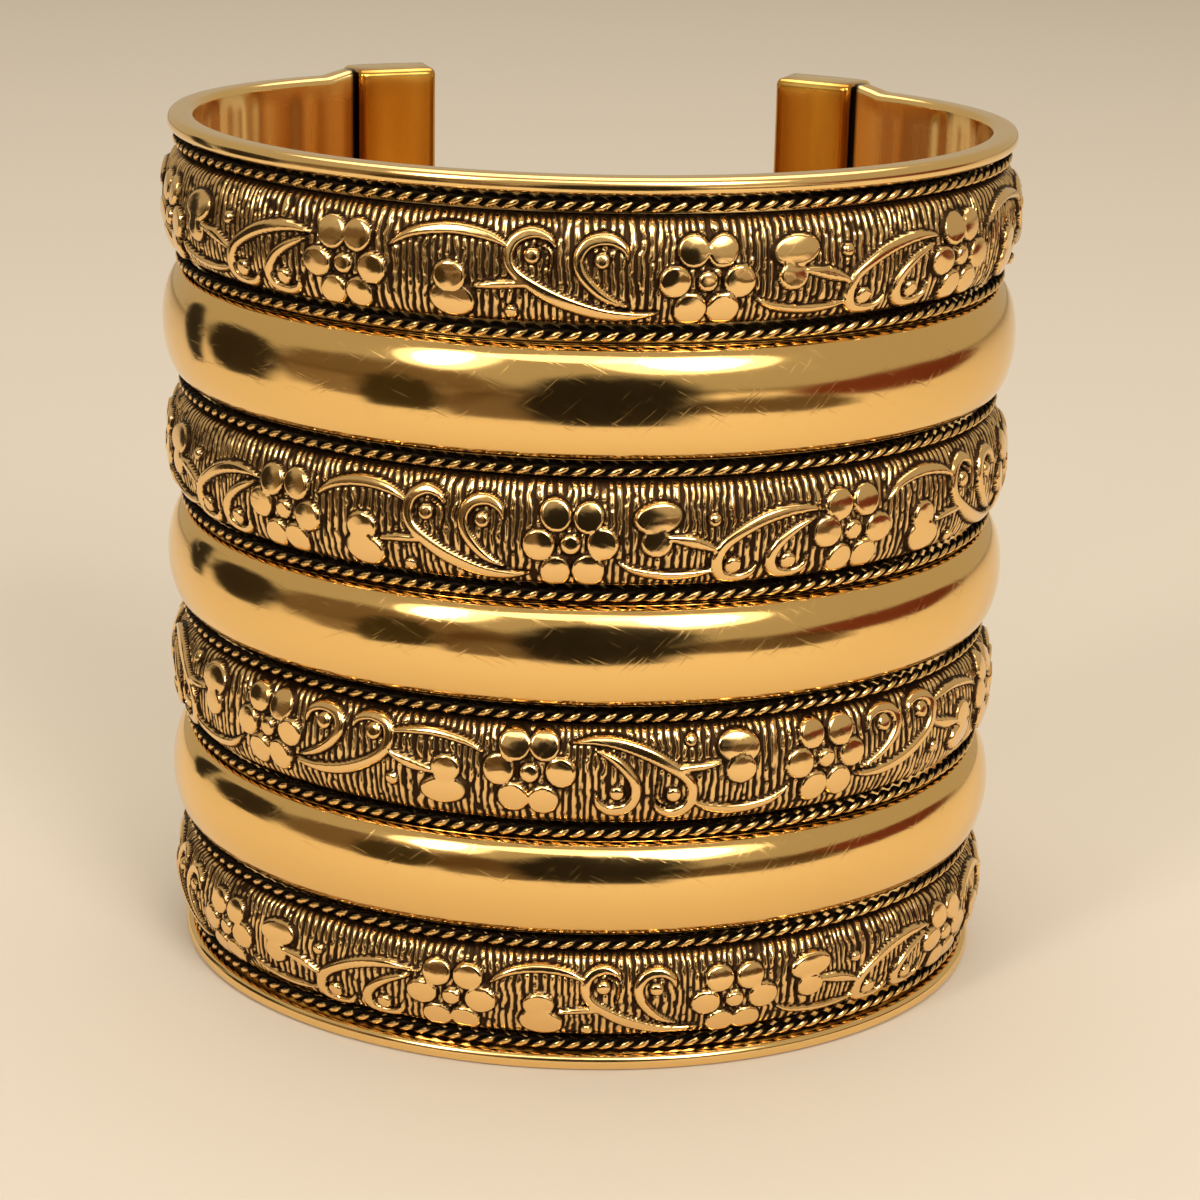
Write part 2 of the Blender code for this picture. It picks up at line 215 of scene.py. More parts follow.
scroll = {
    "length": 44.4,
    "halfWidth": 3.7,
    "flowers": (0.0, 22.2),
    "flowerDrop": -0.45,
    "petalReach": 2.30,
    "petalSize": (1.20, 1.13),
    "petalSway": 4,              # degrees that a petal may be turned out of its place
    "petalLengths": (0.94, 1.03),        # how far petals differ in length and in width
    "petalWidths": (0.92, 1.05),
    "beadRadius": 0.72,          # bead in the middle of a flower
    "relief": 0.35,              # height above the ground
    "padTop": 0.84,              # share of the relief that a pad's edge has
    "dome": 0.05,                # rise of a pad's middle
    "tilt": 0.09,                # slope that a pad may lean by
    "ribbonTop": (0.86, 0.10),   # shares of the relief: a ribbon's edge, and its crown's rise
    "crown": {"ribbon": 0.30, "pad": 0.9, "bead": 0.4},     # from an edge in to the full height
    "edge": (-0.10, 0.13),       # from outside to inside a shape's edge, where it rises
    "fromCaps": 0.4,             # bare ground before the caps
    "widen": 1.00,               # ribbons' widths
}
# fine upright lines of the ground, in millimetres
ground = {
    "pitch": 0.58,               # one line to the next
    "depth": 0.19,
    "softSway": (0.13, 0.8, 1.0),        # how far lines wander, with the length and width of
    "sharpSway": (0.06, 0.45, 0.45),     # the patches that wander together
    "drift": (0.50, 3.0, 9.0),
    "rise": (0.24, 0.74),        # from a cut line up to a ridge's full height
    "breakNoise": (1.0, 0.35, 0.40),
    "breaks": (-0.78, -0.42),    # a ridge is broken where that noise is below these
    "brokenTop": 0.30,           # height that is left where a ridge is broken
    "uneven": (0.22, 0.5, 0.9),  # how much the ridges' heights vary
}
# oval pads: along, across, half length, half width, turn in degrees
scrollPads = (
    (7.05, -2.15, 1.66, 1.22, -8),
    (6.90, -0.52, 1.20, 1.08, 0),
    (28.7, 1.42, 1.80, 1.10, 6),
    (28.55, -0.28, 1.12, 1.02, 0),
)
# round beads: along, across, radius
scrollBeads = (
    (10.6, -2.85, 0.46), (11.85, 1.15, 0.56), (15.95, 0.95, 0.54),
    (32.9, 1.20, 0.46), (34.45, -2.15, 0.62), (38.85, -2.12, 0.60),
)
# ribbons: rows of along, across, width
scrollRibbons = {
    "crescentLeaf": ((3.0, 1.15, 0.10), (4.3, 2.10, 0.58), (5.8, 2.55, 0.74), (7.4, 2.66, 0.78),
                     (9.2, 2.34, 0.66), (10.5, 1.70, 0.22)),
    "budStem": ((8.5, -1.10, 0.30), (9.8, -0.92, 0.56), (11.5, -0.80, 0.52)),
    "curlOne": ((13.2, 1.80, 0.10), (12.8, 2.40, 0.52), (11.8, 2.70, 0.80), (10.8, 2.15, 0.82),
                (10.45, 1.10, 0.76), (10.8, 0.05, 0.74), (11.9, -0.90, 0.86), (13.6, -1.92, 0.98),
                (15.8, -2.72, 0.86), (17.6, -2.92, 0.62), (19.3, -2.68, 0.08)),
    "curlOneEdge": ((12.2, 1.98, 0.10), (12.9, 1.55, 0.17), (13.0, 0.80, 0.18),
                    (12.85, -0.2, 0.08)),
    "curlTwo": ((17.5, 1.00, 0.08), (17.2, 1.85, 0.56), (16.3, 2.38, 0.84), (15.2, 2.12, 0.84),
                (14.6, 1.20, 0.76), (14.7, 0.15, 0.72), (15.4, -0.90, 0.70), (16.3, -1.70, 0.58),
                (17.6, -2.30, 0.08)),
    "blobStem": ((29.5, 0.05, 0.42), (31.2, -0.26, 0.84), (32.6, -0.72, 0.56),
                 (33.4, -1.12, 0.10)),
    "lowStem": ((25.7, -1.68, 0.08), (27.0, -2.34, 0.50), (29.4, -2.76, 0.60), (31.4, -2.68, 0.52),
                (33.1, -2.38, 0.24)),
    "curlThree": ((36.3, -2.20, 0.10), (35.8, -2.90, 0.54), (34.7, -3.20, 0.72),
                  (33.5, -2.85, 0.80), (33.15, -1.85, 0.86), (33.6, -0.75, 0.80),
                  (34.8, 0.15, 0.80), (36.6, 1.00, 0.88), (38.6, 1.46, 0.80),
                  (40.4, 1.50, 0.52), (41.8, 1.30, 0.06)),
    "curlFour": ((40.5, -1.80, 0.10), (40.2, -2.70, 0.50), (39.1, -3.14, 0.70),
                 (37.8, -2.85, 0.80), (37.4, -1.85, 0.80), (38.0, -0.80, 0.72),
                 (39.1, 0.05, 0.62), (40.2, 0.58, 0.46), (41.2, 0.92, 0.06)),
}
# strips: place of a first flower, lengths to the second flower and on to the next first one,
# which way up, seed
embossedBands = {
    "embossed_band_1": (-16.5, (26.4, 22.2), 1, 11),
    "embossed_band_2": (-22.15, (22.8, 21.5), 1, 12),
    "embossed_band_3": (-20.75, (22.8, 22.1), -1, 13),
    "embossed_band_4": (-7.85, (21.7, 22.1), 1, 14),
}
farAway = 9.0                    # mm, further than any shape of the pattern reaches


def smoothLine(rows, steps=5):
    # rows of a ribbon with points between them on a smooth curve
    rows = np.array(rows)
    padded = np.vstack([2 * rows[0] - rows[1], rows, 2 * rows[-1] - rows[-2]])
    line = []
    for p0, p1, p2, p3 in zip(padded, padded[1:], padded[2:], padded[3:]):
        for t in np.arange(steps) / steps:
            line.append(0.5 * (2 * p1 + (p2 - p0) * t + (2 * p0 - 5 * p1 + 4 * p2 - p3) * t ** 2
                               + (3 * p1 - p0 - 3 * p2 + p3) * t ** 3))
    line.append(rows[-1])
    return np.array(line)


def ribbonDistance(u, v, line):
    # distance outside a ribbon's edge
    best = np.full(u.shape, farAway)
    for a, b in zip(line, line[1:]):
        along = b[:2] - a[:2]
        size = float(along @ along) + 1e-9
        t = np.clip(((u - a[0]) * along[0] + (v - a[1]) * along[1]) / size, 0, 1)
        away = np.hypot(u - a[0] - t * along[0], v - a[1] - t * along[1])
        best = np.minimum(best, away - (a[2] + (b[2] - a[2]) * t) / 2)
    return best


def ovalDistance(u, v, pad):
    # distance outside an oval pad's edge
    along, across, halfLength, halfWidth, turn = pad
    c, s = math.cos(math.radians(turn)), math.sin(math.radians(turn))
    du, dv = u - along, v - across
    a, b = (du * c + dv * s) / halfLength, (dv * c - du * s) / halfWidth
    return (np.hypot(a, b) - 1) * min(halfLength, halfWidth)


def patternShapes(lengths, seed):
    # all shapes of one repeat of the pattern: kind, middle, reach and the numbers of its form
    chance = np.random.RandomState(seed)
    drawn = (0, scroll["length"] / 2, scroll["length"])
    stretched = (0, lengths[0], sum(lengths))
    bead = scroll["beadRadius"]
    shapes = []

    def place(along):
        return float(np.interp(along, drawn, stretched))

    for flower in scroll["flowers"]:
        for petal in range(6):
            sway = chance.uniform(-scroll["petalSway"], scroll["petalSway"])
            angle = math.radians(60 * petal + sway)
            u = place(flower) + scroll["petalReach"] * math.cos(angle)
            v = scroll["flowerDrop"] + scroll["petalReach"] * math.sin(angle)
            halfLength = scroll["petalSize"][0] * chance.uniform(*scroll["petalLengths"])
            halfWidth = scroll["petalSize"][1] * chance.uniform(*scroll["petalWidths"])
            shapes.append(("pad", u, 1.6, (u, v, halfLength, halfWidth, 60 * petal)))
        middle = (place(flower), scroll["flowerDrop"], bead, bead, 0)
        shapes.append(("bead", place(flower), 1.0, middle))
    for along, across, halfLength, halfWidth, turn in scrollPads:
        pad = (place(along), across, halfLength, halfWidth, turn)
        shapes.append(("pad", place(along), 2.4, pad))
    for along, across, radius in scrollBeads:
        shapes.append(("bead", place(along), 1.0, (place(along), across, radius, radius, 0)))
    for rows in scrollRibbons.values():
        line = smoothLine([(place(along), across, width * scroll["widen"])
                           for along, across, width in rows])
        low, high = line[:, 0].min(), line[:, 0].max()
        shapes.append(("ribbon", (low + high) / 2, (high - low) / 2 + 0.9, line))
    return shapes


def embossField(u, v, firstFlower, lengths, facing, seed):
    # height above the strip's ground, and distance outside the pattern's edges, in mm
    chance = np.random.RandomState(seed + 100)
    raised = np.zeros(u.shape)
    edge = np.full(u.shape, farAway)
    reach = rimEnd / mm - scroll["fromCaps"]
    ribbonEdge, ribbonRise = scroll["ribbonTop"]
    length = sum(lengths)
    first = math.floor((-reach - firstFlower) / length) - 1
    last = math.ceil((reach - firstFlower) / length) + 1
    shapes = patternShapes(lengths, seed)
    pu, pv = facing * u, facing * v
    for repeat in range(first, last + 1):
        shift = firstFlower + repeat * length
        for kind, middle, size, form in shapes:
            tilt = chance.uniform(-scroll["tilt"], scroll["tilt"], 2)
            if abs(middle + shift) > reach - size * 0.6:
                continue
            near = np.abs(pu - shift - middle) < size + 0.4
            su, sv = pu[near] - shift, pv[near]
            away = (ribbonDistance if kind == "ribbon" else ovalDistance)(su, sv, form)
            crown = rampUp(-away, 0.0, scroll["crown"][kind])
            if kind == "ribbon":
                top = scroll["relief"] * (ribbonEdge + ribbonRise * crown)
            else:
                top = scroll["relief"] * scroll["padTop"] + scroll["dome"] * crown
                top = top + tilt[0] * (su - form[0]) + tilt[1] * (sv - form[1])
            raised[near] = np.maximum(raised[near], top * rampUp(-away, *scroll["edge"]))
            edge[near] = np.minimum(edge[near], away)
    return raised, edge


def groundLines(u, v, seed):
    # fine upright ridges of the ground: 0 in the cut lines, 1 on the ridges
    sway = waves(u, v, ground["softSway"], seed, 7) + waves(u, v, ground["sharpSway"], seed + 1)
    drift = waves(u, v, ground["drift"], seed + 2, 3)
    ridge = 0.5 + 0.5 * np.cos(2 * math.pi * (u + sway + drift) / ground["pitch"])
    ridge = rampUp(ridge, *ground["rise"])
    whole = rampUp(waves(u, v, ground["breakNoise"], seed + 3), *ground["breaks"])
    top = ground["brokenTop"] + (1 - ground["brokenTop"]) * whole
    tall = 1 - ground["uneven"][0] + waves(u, v, ground["uneven"], seed + 4)
    return ridge * top * tall


embossing = {
    "rowStep": 0.125,            # mesh steps across and along a strip, in mm
    "columnStep": 0.115,
    "evenRows": 0.6,             # share of even spacing; the rest crowds rows to the edges
    "bare": (0.05, 0.24),        # distances from a shape within which the lines fade in
    "fade": (0.05, 0.45),        # share of the dome's height over which the relief fades in
    "ridgeShine": 0.92,          # how bright the lines' ridges are polished
    "shine": (0.10, 0.26),       # heights between which a shape is polished bright
    "grimeAndShade": 0.95,               # painted shade along the strip's edges, in the grooves by the wires
}


def makeEmbossedBand(name):
    firstFlower, lengths, facing, seed = embossedBands[name]
    middle, half = heights(name)
    wallEdge = cuff["stripWall"]
    count = int(round(2 * half / mm / embossing["rowStep"]))
    spread = math.pi / 2 * np.linspace(-1, 1, count + 1)
    even = embossing["evenRows"]
    share = even * np.linspace(-1, 1, count + 1) + (1 - even) * np.sin(spread)
    section = [(cuff["back"], middle + half), (cuff["back"], middle - half)]
    section += [(cuff["back"] + wallEdge, middle + half * s) for s in share]
    groundRise = (cuff["crest"] - cuff["back"] - wallEdge) / mm - scroll["relief"]

    def shape(u, row, depth, height):
        across = (height - middle) / half
        v = across * scroll["halfWidth"]
        front = row >= 2
        raised, edge = embossField(u / mm, v, firstFlower, lengths, facing, seed)
        lines = groundLines(u / mm, v, seed) * rampUp(edge, *embossing["bare"])
        arch = np.sqrt(np.clip(1 - across ** 2, 0, 1))
        body = (cuff["back"] + wallEdge) / mm + groundRise * arch - ground["depth"]
        lift = np.maximum(ground["depth"] * lines, raised + ground["depth"] * (raised > 0.02))
        fade = rampUp(arch, *embossing["fade"])
        outer = np.minimum(body + lift * fade, cuff["crest"] / mm - cuff["underCrest"])
        depth = np.where(front, np.maximum(outer * mm, cuff["back"] + wallEdge * 0.5), depth)
        bright = np.maximum(embossing["ridgeShine"] * lines, rampUp(raised, *embossing["shine"]))
        # patina in the low ground, and painted shade along the strip's edges by the wires
        patinaAndShade = np.maximum(np.clip(1 - bright, 0, 1), embossing["grimeAndShade"] * (1 - fade))
        return depth, height, {"patinaAndShade": np.where(front, patinaAndShade, 1.0)}

    columns = int(round(2 * stripEnd / mm / embossing["columnStep"]))
    return sweptStrip(name + "_relief", 2 * stripEnd, columns, section, shape)


plainStrip = {
    "columns": 300,
    "rows": 33,
    "seed": 60,
    "wave": (0.030, 9.0, 5.0),   # broad unevenness: height, length and width, in mm
    "ripple": (0.008, 3.0, 2.5),         # fine unevenness
    "sink": 0.02,                # mm by which the dome is lowered, so that waves fit the solid
}


def makePlainBand(name, seed):
    middle, half = heights(name)
    edgeDepth = cuff["back"] + cuff["stripWall"]
    section = [(cuff["back"], middle + half), (cuff["back"], middle - half)]
    for angle in np.linspace(-math.pi / 2, math.pi / 2, plainStrip["rows"]):
        rise = (cuff["crest"] - edgeDepth) * math.cos(angle)
        section.append((edgeDepth + rise, middle + half * math.sin(angle)))

    def shape(u, row, depth, height):
        wave = waves(u / mm, height / mm, plainStrip["wave"], seed)
        ripple = waves(u / mm, height / mm, plainStrip["ripple"], seed + 5)
        outer = depth + (wave + ripple - plainStrip["sink"]) * mm
        crest = cuff["crest"] - cuff["underCrest"] * mm
        return np.where(row >= 2, np.minimum(outer, crest), depth), height, {}

    return sweptStrip(name + "_polished", 2 * stripEnd, plainStrip["columns"], section, shape)


strand = {
    "radius": 0.245 * mm,
    "offset": 0.225 * mm,        # from the wire's middle to the strand's
    "turn": 2.67 * mm,           # length of one turn
    "perTurn": 11,               # points in a turn
    "phase": 1.7,                # turn of one wire against the next, in radians
    "bevelSteps": 2,
    "weld": 0.001 * mm,
    "smoothAngle": math.radians(60),
    # shares of the wire's radius at which it turns bright away from its core and outwards,
    # and at which the painted shade on its top turns it dark again
    "bright": ((0.72, 0.94), (-0.30, 0.35), (0.15, 0.65)),
}


def makeWire(name, index):
    # two strands twisted together, each a round wire run along a helix
    height = heights(name)[0]
    depth = cuff["back"] + cuff["wireDiameter"] / 2
    start = stripEnd - strand["radius"]
    count = int(2 * start / strand["turn"] * strand["perTurn"])
    u = np.linspace(-start, start, count)
    made = []
    for half in (0, math.pi):
        angle = 2 * math.pi * u / strand["turn"] + half + index * strand["phase"]
        flat = np.column_stack([u, -(depth + strand["offset"] * np.cos(angle)),
                                height + strand["offset"] * np.sin(angle)])
        line = bendPoints(flat)
        curve = bpy.data.curves.new(name, "CURVE")
        curve.dimensions = "3D"
        curve.bevel_depth = strand["radius"]
        curve.bevel_resolution = strand["bevelSteps"]
        curve.use_fill_caps = True
        spline = curve.splines.new("POLY")
        spline.points.add(count - 1)
        spline.points.foreach_set("co", np.column_stack([line, np.ones(count)]).ravel())
        piece = bpy.data.objects.new(name + "_strand", curve)
        bpy.context.scene.collection.objects.link(piece)
        made.append(piece)
    freshStart()
    for piece in made:
        piece.select_set(True)
    bpy.context.view_layer.objects.active = made[0]
    bpy.ops.object.convert(target="MESH")
    bpy.ops.object.join()
    piece = bpy.context.object
    piece.name = piece.data.name = name + "_twist"
    bpy.ops.object.mode_set(mode="EDIT")
    bpy.ops.mesh.select_all(action="SELECT")
    bpy.ops.mesh.remove_doubles(threshold=strand["weld"])
    bpy.ops.mesh.normals_make_consistent(inside=False)
    bpy.ops.object.mode_set(mode="OBJECT")
    bpy.ops.object.shade_smooth_by_angle(angle=strand["smoothAngle"])
    addWirePatinaAndShade(piece, height, depth)
    return piece


def addWirePatinaAndShade(piece, height, depth):
    # patina of a twisted wire near its core and on its inner side, and painted shade over its top;
    # bright on its high spots
    points = readPoints(piece)
    across = cuff["innerWidth"] / 2
    y = points[:, 1] - cuff["widestY"]
    along = np.where(y < 0, cuff["innerFront"], cuff["innerBack"])
    turn = np.arctan2(points[:, 0] / across, -y / along)
    centreX, centreY = ovalPlace(turn, depth)
    outward = np.hypot(points[:, 0], y) - np.hypot(centreX, centreY - cuff["widestY"])
    upward = points[:, 2] - height
    radius = cuff["wireDiameter"] / 2
    fromCore, outwards, onTop = strand["bright"]
    bright = rampUp(np.hypot(outward, upward) / radius, *fromCore)
    bright = bright * rampUp(outward / radius, *outwards)
    # the darkening on top is painted shade; the darkening near the core and inner side is patina
    addAttribute(piece, "patinaAndShade", 1 - bright * (1 - rampUp(upward / radius, *onTop)))


liner = {
    "columns": 420,
    "outerRows": 8,
    "innerRows": 24,
    "rounding": 0.55 * mm,       # radius of the rims' edges
    "roundingSteps": 7,
    "byRim": 0.4 * mm,           # first row of the sheet, from a rim
    "pastRim": 2 * mm,           # from here the rows are even
    "intoCap": 0.25 * mm,        # past the rim's end, so that no light shows before the cap
    "creaseShade": (0.45 * mm, 0.15 * mm),    # painted shade of the crease before the cap: from, to
}


def makeLiner():
    wall, width, tall = cuff["linerWall"], cuff["rimWidth"], cuff["rimHeight"]
    total = cuff["height"]
    soft, byRim, past = liner["rounding"], liner["byRim"], liner["pastRim"]

    def corner(depth, height, startAngle, atTop):
        centreDepth = depth + (soft if depth <= 0 else -soft)
        centreHeight = height + (-soft if atTop else soft)
        turns = np.radians(np.linspace(startAngle, startAngle + 90, liner["roundingSteps"]))
        return [(centreDepth + soft * math.cos(turn), centreHeight + soft * math.sin(turn))
                for turn in turns]

    section = corner(0, 0, 180, False) + corner(width, 0, 270, False)
    section += corner(width, tall, 0, True)
    outside = np.linspace(tall + past, total - tall - past, liner["outerRows"])
    inside = np.linspace(total - past, past, liner["innerRows"])
    section += [(wall, tall), (wall, tall + byRim)] + [(wall, h) for h in outside]
    section += [(wall, total - tall - byRim), (wall, total - tall)]
    section += corner(width, total - tall, 270, False) + corner(width, total, 0, True)
    section += corner(0, total, 90, True)
    section += [(0.0, h) for h in inside]

    def shape(u, row, depth, height):
        rise = cuff["capRise"] * np.clip((np.abs(u) - rimEnd) / cuff["rimSlope"] + 1, 0, 1)
        # painted shade: the liner darkens just before each cap, where the crease lies in shade
        creaseShade = rampUp(np.abs(u), *[rimEnd - away for away in liner["creaseShade"]])
        sheet = (depth < 0.02 * mm) & (height > tall) & (height < total - tall)
        height = np.where(height > total - tall * 0.45, height + rise, height)
        return depth, height, {"patinaAndShade": creaseShade, "sheet": sheet}

    length = 2 * (rimEnd + liner["intoCap"])
    return sweptStrip("liner_sheet", length, liner["columns"], section, shape)


cap = {
    "rounding": 0.55 * mm,
    "roundingSteps": 5,
    "columns": 16,               # faces along and up the cap
    "rows": 30,
    "hollow": 0.16,              # mm by which the faces sink to their sides
    "dents": (0.09, 3.5, 7.0),   # depth, length and width, in mm
    "patinaAndShade": (0.17, 0.62),      # painted shade: some in the middle, and more of it at the sides
    "cloud": (0.16, 1 / 1.3, 11.0),      # unevenness of the painted shade
    "seed": 21,
    "smoothAngle": math.radians(40),
}


def makeCap(name, side):
    # box folded over the strips' ends
    near, far = cuffHalf - cuff["capLength"], cuffHalf
    freshStart()
    bpy.ops.mesh.primitive_cube_add(size=1)
    piece = bpy.context.object
    piece.name = piece.data.name = name + "_box"
    points = readPoints(piece)
    points[:, 0] = np.where(points[:, 0] > 0, far, near)
    points[:, 1] = np.where(points[:, 1] > 0, -cuff["capInside"], -cuff["capOutside"])
    points[:, 2] = np.where(points[:, 2] > 0, cuff["height"] + cuff["capRise"], 0)
    writePoints(piece, points)
    bevel = piece.modifiers.new("roundedEdges", "BEVEL")
    bevel.width = cap["rounding"]
    bevel.segments = cap["roundingSteps"]
    freshStart()
    piece.select_set(True)
    bpy.context.view_layer.objects.active = piece
    bpy.ops.object.modifier_apply(modifier=bevel.name)
    bpy.ops.object.mode_set(mode="EDIT")
    cuts = (((1, 0, 0), near, cuff["capLength"], cap["columns"]),
            ((0, 0, 1), 0, cuff["height"], cap["rows"]))
    for plane, start, size, steps in cuts:
        for step in range(1, steps):
            place = start + size * step / steps
            bpy.ops.mesh.select_all(action="SELECT")
            bpy.ops.mesh.bisect(plane_co=[place * axis for axis in plane], plane_no=plane)
    bpy.ops.object.mode_set(mode="OBJECT")
    points = readPoints(piece)
    across = 2 * (points[:, 0] - near) / cuff["capLength"] - 1
    seed = cap["seed"] + side
    dent = waves(points[:, 0] / mm, points[:, 2] / mm, cap["dents"], seed)
    sunk = (cap["hollow"] * across ** 2 + np.abs(dent)) * mm
    points[:, 1] -= np.where(points[:, 1] > 0, sunk, -sunk)
    inside = points[:, 1] > -(cuff["capInside"] + cuff["capOutside"]) / 2
    # painted shade and reflection: the cap's inner face is darker towards its sides
    middle, more = cap["patinaAndShade"]
    patinaAndShade = middle + more * rampUp(np.abs(across), 0.30, 1.0)
    patinaAndShade = patinaAndShade + waves(across, points[:, 2] / mm, cap["cloud"], seed + 10)
    addAttribute(piece, "patinaAndShade", patinaAndShade * inside)
    points = bendPoints(points)
    points[:, 0] *= side
    writePoints(piece, points)
    bpy.ops.object.mode_set(mode="EDIT")
    bpy.ops.mesh.select_all(action="SELECT")
    bpy.ops.mesh.normals_make_consistent(inside=False)
    bpy.ops.object.mode_set(mode="OBJECT")
    bpy.ops.object.shade_smooth_by_angle(angle=cap["smoothAngle"])
    return piece


# Finishes: colours, and how rough the polished metal, its scratches and its smudges are

finishes = {
    "polishedBrass": {"colour": (0.92, 0.60, 0.22),
                      "Polish": 0.06, "Scratches": 0.12, "Smudges": 0.08},
    # dark: patina, and painted shade along the strips' edges
    "embossedBrass": {"colour": (0.92, 0.60, 0.25), "dark": (0.040, 0.020, 0.009),
                      "Polish": 0.07, "Scratches": 0.10, "Smudges": 0.08},
    # dark: patina in the twist, and painted shade over the wires' tops
    "wireBrass": {"colour": (0.90, 0.57, 0.21), "dark": (0.012, 0.008, 0.005),
                  "Polish": 0.10, "Scratches": 0.10, "Smudges": 0.08},
    # dark: painted shade of the liner's crease before the caps
    "satinBrass": {"colour": (0.94, 0.64, 0.26), "dark": (0.010, 0.006, 0.003)},
    # dark: painted shade on the caps' inner faces
    "capBrass": {"colour": (1.0, 0.67, 0.18), "dark": (0.46, 0.17, 0.011)},
}


def newMaterial(name):
    material = bpy.data.materials.new(name)
    material.use_nodes = True
    tree = material.node_tree
    return material, tree, tree.nodes["Principled BSDF"]


def feed(tree, socket, value):
    # an input gets a value of its own, or a link from another node's output
    if isinstance(value, bpy.types.NodeSocket):
        tree.links.new(value, socket)
    else:
        socket.default_value = value


def addNode(tree, kind, **settings):
    node = tree.nodes.new(kind)
    for key, value in settings.items():
        if key in node.inputs:
            feed(tree, node.inputs[key], value)
        else:
            setattr(node, key, value)
    return node


def addMath(tree, operation, *values):
    node = addNode(tree, "ShaderNodeMath", operation=operation)
    for socket, value in zip(node.inputs, values):
        feed(tree, socket, value)
    return node.outputs[0]


def addRange(tree, value, low, high, start=0.0, end=1.0, kind="LINEAR"):
    # from start, where value is low, to end, where it is high
    node = addNode(tree, "ShaderNodeMapRange", interpolation_type=kind, Value=value)
    for key, number in (("From Min", low), ("From Max", high), ("To Min", start), ("To Max", end)):
        node.inputs[key].default_value = number
    return node.outputs["Result"]


def addNoise(tree, place, scale, detail):
    node = addNode(tree, "ShaderNodeTexNoise", Vector=place, Scale=scale, Detail=detail)
    return node.outputs["Fac"]


def addMapping(tree, place, **settings):
    node = addNode(tree, "ShaderNodeMapping", **settings)
    tree.links.new(place, node.inputs["Vector"])
    return node.outputs["Vector"]


def addMix(tree, share, first, second):
    node = addNode(tree, "ShaderNodeMix", data_type="RGBA", Factor=share, A=first, B=second)
    return node.outputs["Result"]


def readMask(tree, name):
    return addNode(tree, "ShaderNodeAttribute", attribute_name=name).outputs["Fac"]


def ownPlace(tree):
    return tree.nodes.new("ShaderNodeTexCoord").outputs["Object"]


scratches = {
    "size": (0.00030, 0.0040, 0.0040),      # thin one way and long the other two
    "turns": ((0.35, 0.75, 0.55), (0.20, -1.05, 0.60)),     # of the two sets of scratches
    "noise": (0.63, 0.72),                  # fewer scratches with higher numbers
    "strength": 0.09,
    "depth": 0.00002,
    "smudgeScale": 180.0,
}


def wearGroup():
    # fine scratches and smudges of worn metal, as a roughness and a normal
    group = bpy.data.node_groups.new("wornPolish", "ShaderNodeTree")
    face = group.interface
    for socket in ("Scratches", "Smudges", "Polish"):
        face.new_socket(socket, in_out="INPUT", socket_type="NodeSocketFloat")
    face.new_socket("Roughness", in_out="OUTPUT", socket_type="NodeSocketFloat")
    face.new_socket("Normal", in_out="OUTPUT", socket_type="NodeSocketVector")
    start, end = group.nodes.new("NodeGroupInput"), group.nodes.new("NodeGroupOutput")
    place = ownPlace(group)
    cuts = []
    for turn in scratches["turns"]:
        slanted = addMapping(group, place, vector_type="TEXTURE", Rotation=turn,
                             Scale=scratches["size"])
        cuts.append(addRange(group, addNoise(group, slanted, 1.6, 2.0), *scratches["noise"]))
    both = addMath(group, "MAXIMUM", *cuts)
    smudge = addNoise(group, place, scratches["smudgeScale"], 3.0)
    scratchRough = addMath(group, "MULTIPLY", both, start.outputs["Scratches"])
    smudgeRough = addMath(group, "MULTIPLY", smudge, start.outputs["Smudges"])
    worn = addMath(group, "ADD", scratchRough, smudgeRough)
    feed(group, end.inputs["Roughness"], addMath(group, "ADD", worn, start.outputs["Polish"]))
    bump = addNode(group, "ShaderNodeBump", invert=True, Strength=scratches["strength"],
                   Distance=scratches["depth"], Height=both)
    feed(group, end.inputs["Normal"], bump.outputs["Normal"])
    return group


def addPolish(tree, look):
    # the worn polish with a finish's own values
    polish = addNode(tree, "ShaderNodeGroup")
    polish.node_tree = wornPolish
    for key in ("Polish", "Scratches", "Smudges"):
        polish.inputs[key].default_value = look[key]
    return polish


def polishedMetal(name):
    look = finishes[name]
    material, tree, shader = newMaterial(name)
    polish = addPolish(tree, look)
    feed(tree, shader.inputs["Metallic"], 1.0)
    feed(tree, shader.inputs["Base Color"], (*look["colour"], 1))
    feed(tree, shader.inputs["Roughness"], polish.outputs["Roughness"])
    feed(tree, shader.inputs["Normal"], polish.outputs["Normal"])
    return material


grimeAndShade = {
    "scale": 900.0,              # fine unevenness of the patina and the painted shade
    "uneven": 0.5,
    "cut": (0.30, 0.85),         # from bright to dark
    "dull": 0.45,                # roughness that the patina and the painted shade add
}


def patinaAndShadeMetal(name):
    # brass that is dark and dull where the patina attribute says: patina in its recesses, and
    # painted shade along the strips' edges and over the wires' tops
    look = finishes[name]
    material, tree, shader = newMaterial(name)
    polish = addPolish(tree, look)
    specks = addNoise(tree, ownPlace(tree), grimeAndShade["scale"], 4.0)
    spread = addMath(tree, "MULTIPLY_ADD", specks, grimeAndShade["uneven"], -grimeAndShade["uneven"] / 2)
    total = addMath(tree, "ADD", readMask(tree, "patinaAndShade"), spread)
    dark = addRange(tree, total, *grimeAndShade["cut"], kind="SMOOTHSTEP")
    colour = addMix(tree, dark, (*look["colour"], 1), (*look["dark"], 1))
    rough = addMath(tree, "MULTIPLY_ADD", dark, grimeAndShade["dull"], polish.outputs["Roughness"])
    feed(tree, shader.inputs["Metallic"], 1.0)
    feed(tree, shader.inputs["Base Color"], colour)
    feed(tree, shader.inputs["Roughness"], rough)
    feed(tree, shader.inputs["Normal"], polish.outputs["Normal"])
    return material


streaks = {
    "fine": (420, 420, 14),      # scales of the upright streaks
    "broad": (170, 170, 7),
    "rough": (0.16, 0.06),       # roughness: how much the streaks vary it, and the least
    "sheetRough": 0.13,          # more of it on the inner sheet
    "fineStrength": 0.25,
    "fineDepth": 0.00006,
    "broadDepth": 0.0016,
    "warm": (0.42, 0.62),        # where the broad streaks turn to the warmer colour
    "warmShare": (0.84, 0.64, 0.36),
}


